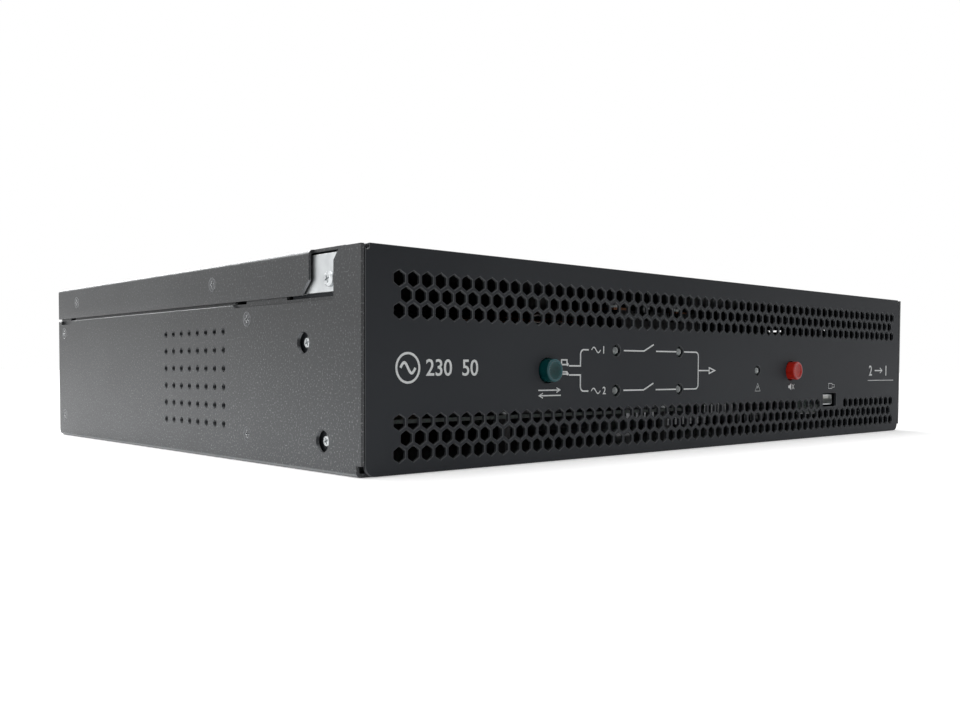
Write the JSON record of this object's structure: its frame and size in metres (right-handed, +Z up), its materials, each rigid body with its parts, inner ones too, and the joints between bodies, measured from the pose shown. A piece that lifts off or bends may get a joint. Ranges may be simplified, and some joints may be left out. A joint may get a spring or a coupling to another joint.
{
  "type": "rack static transfer switch",
  "caption": "Low rack case that switches a load between two mains sources, with hexagon vents, a line diagram, push buttons, lights and a USB socket in front.",
  "frame": {"origin": "middle of the bounding box, on the flat base", "axes": "+X to the right seen from the front, +Y towards the back, +Z up"},
  "size_m": [0.44, 0.3326, 0.086],
  "materials": {
    "chassis_paint": "fine textured powder coat",
    "panel_paint": "smooth satin powder coat",
    "zinc": "bright zinc plate",
    "screw_black": "black oxide",
    "ink": "screen print",
    "green_button": "polished",
    "red_button": "polished",
    "black_plastic": "moulded, satin",
    "white_nylon": "moulded",
    "light_lens": "clear, unlit",
    "board_green": "solder mask",
    "transformer_iron": "varnished laminations",
    "capacitor_sleeve": "sleeved can",
    "heatsink_aluminium": "extruded",
    "copper": "bare copper",
    "sensor_blue": "moulded",
    "wire_red": "insulation",
    "ribbon_grey": "insulation",
    "earth_brass": "bright"
  },
  "bodies": {
    "enclosure": {"chassis": "chassis_paint", "top_cover": "chassis_paint", "front_panel": "panel_paint", "front_flanges": "panel_paint", "rear_panel": "chassis_paint", "rear_flanges": "chassis_paint", "left_bracket": "zinc", "right_bracket": "zinc", "countersunk_screws": "screw_black", "pan_screws": "zinc", "mimic_print": "ink", "transfer_switch": "black_plastic", "silence_switch": "black_plastic", "led_source_1": "light_lens", "led_source_2": "light_lens", "led_output_1": "light_lens", "led_output_2": "light_lens", "led_fault": "light_lens", "front_board": "board_green", "front_pillars": "zinc", "usb_shell": "zinc", "usb_tongue": "white_nylon", "buzzer": "black_plastic", "control_board": "board_green", "board_pillars": "black_plastic", "transformers": "transformer_iron", "relays": "black_plastic", "capacitors": "capacitor_sleeve", "board_parts": "black_plastic", "ribbon_cable": "ribbon_grey", "heatsink": "heatsink_aluminium", "thyristor_1": "black_plastic", "thyristor_2": "black_plastic", "input_bar_1": "copper", "input_bar_2": "copper", "output_bar": "copper", "current_sensor": "sensor_blue", "power_cables": "wire_red", "terminal_block": "black_plastic", "breaker_1": "black_plastic", "breaker_2": "black_plastic", "gland_body_1": "black_plastic", "gland_body_2": "black_plastic", "gland_body_3": "black_plastic", "gland_domes": "black_plastic", "gland_locknuts": "black_plastic", "fan_frame_1": "black_plastic", "fan_frame_2": "black_plastic", "outlets": "black_plastic", "card_plate": "zinc", "earth_stud": "earth_brass"},
    "transfer_push": {"transfer_button": "green_button", "transfer_plunger": "white_nylon"},
    "silence_push": {"silence_button": "red_button", "silence_plunger": "white_nylon"},
    "breaker_lever_1": {"breaker_handle_1": "white_nylon"},
    "breaker_lever_2": {"breaker_handle_2": "white_nylon"},
    "rotor_1": {"fan_rotor_1": "black_plastic"},
    "rotor_2": {"fan_rotor_2": "black_plastic"}
  },
  "joints": [
    {"name": "transfer_press", "type": "slide", "parent": "enclosure", "child": "transfer_push", "axis": [0, 1, 0], "range_m": [0, 0.0025], "stiffness_N_per_m": 500, "springref_m": -0.002},
    {"name": "silence_press", "type": "slide", "parent": "enclosure", "child": "silence_push", "axis": [0, 1, 0], "range_m": [0, 0.0025], "stiffness_N_per_m": 500, "springref_m": -0.002},
    {"name": "breaker_toggle_1", "type": "hinge", "parent": "enclosure", "child": "breaker_lever_1", "pos_m": [0.048, 0.13775, 0.043], "axis": [1, 0, 0], "range_deg": [-40, 0]},
    {"name": "breaker_toggle_2", "type": "hinge", "parent": "enclosure", "child": "breaker_lever_2", "pos_m": [0.09, 0.13775, 0.043], "axis": [1, 0, 0], "range_deg": [-40, 0]},
    {"name": "fan_spin_1", "type": "hinge", "parent": "enclosure", "child": "rotor_1", "pos_m": [0.18, 0.12825, 0.043], "axis": [0, 1, 0], "continuous": true},
    {"name": "fan_spin_2", "type": "hinge", "parent": "enclosure", "child": "rotor_2", "pos_m": [-0.18, 0.12825, 0.043], "axis": [0, 1, 0], "continuous": true}
  ]
}
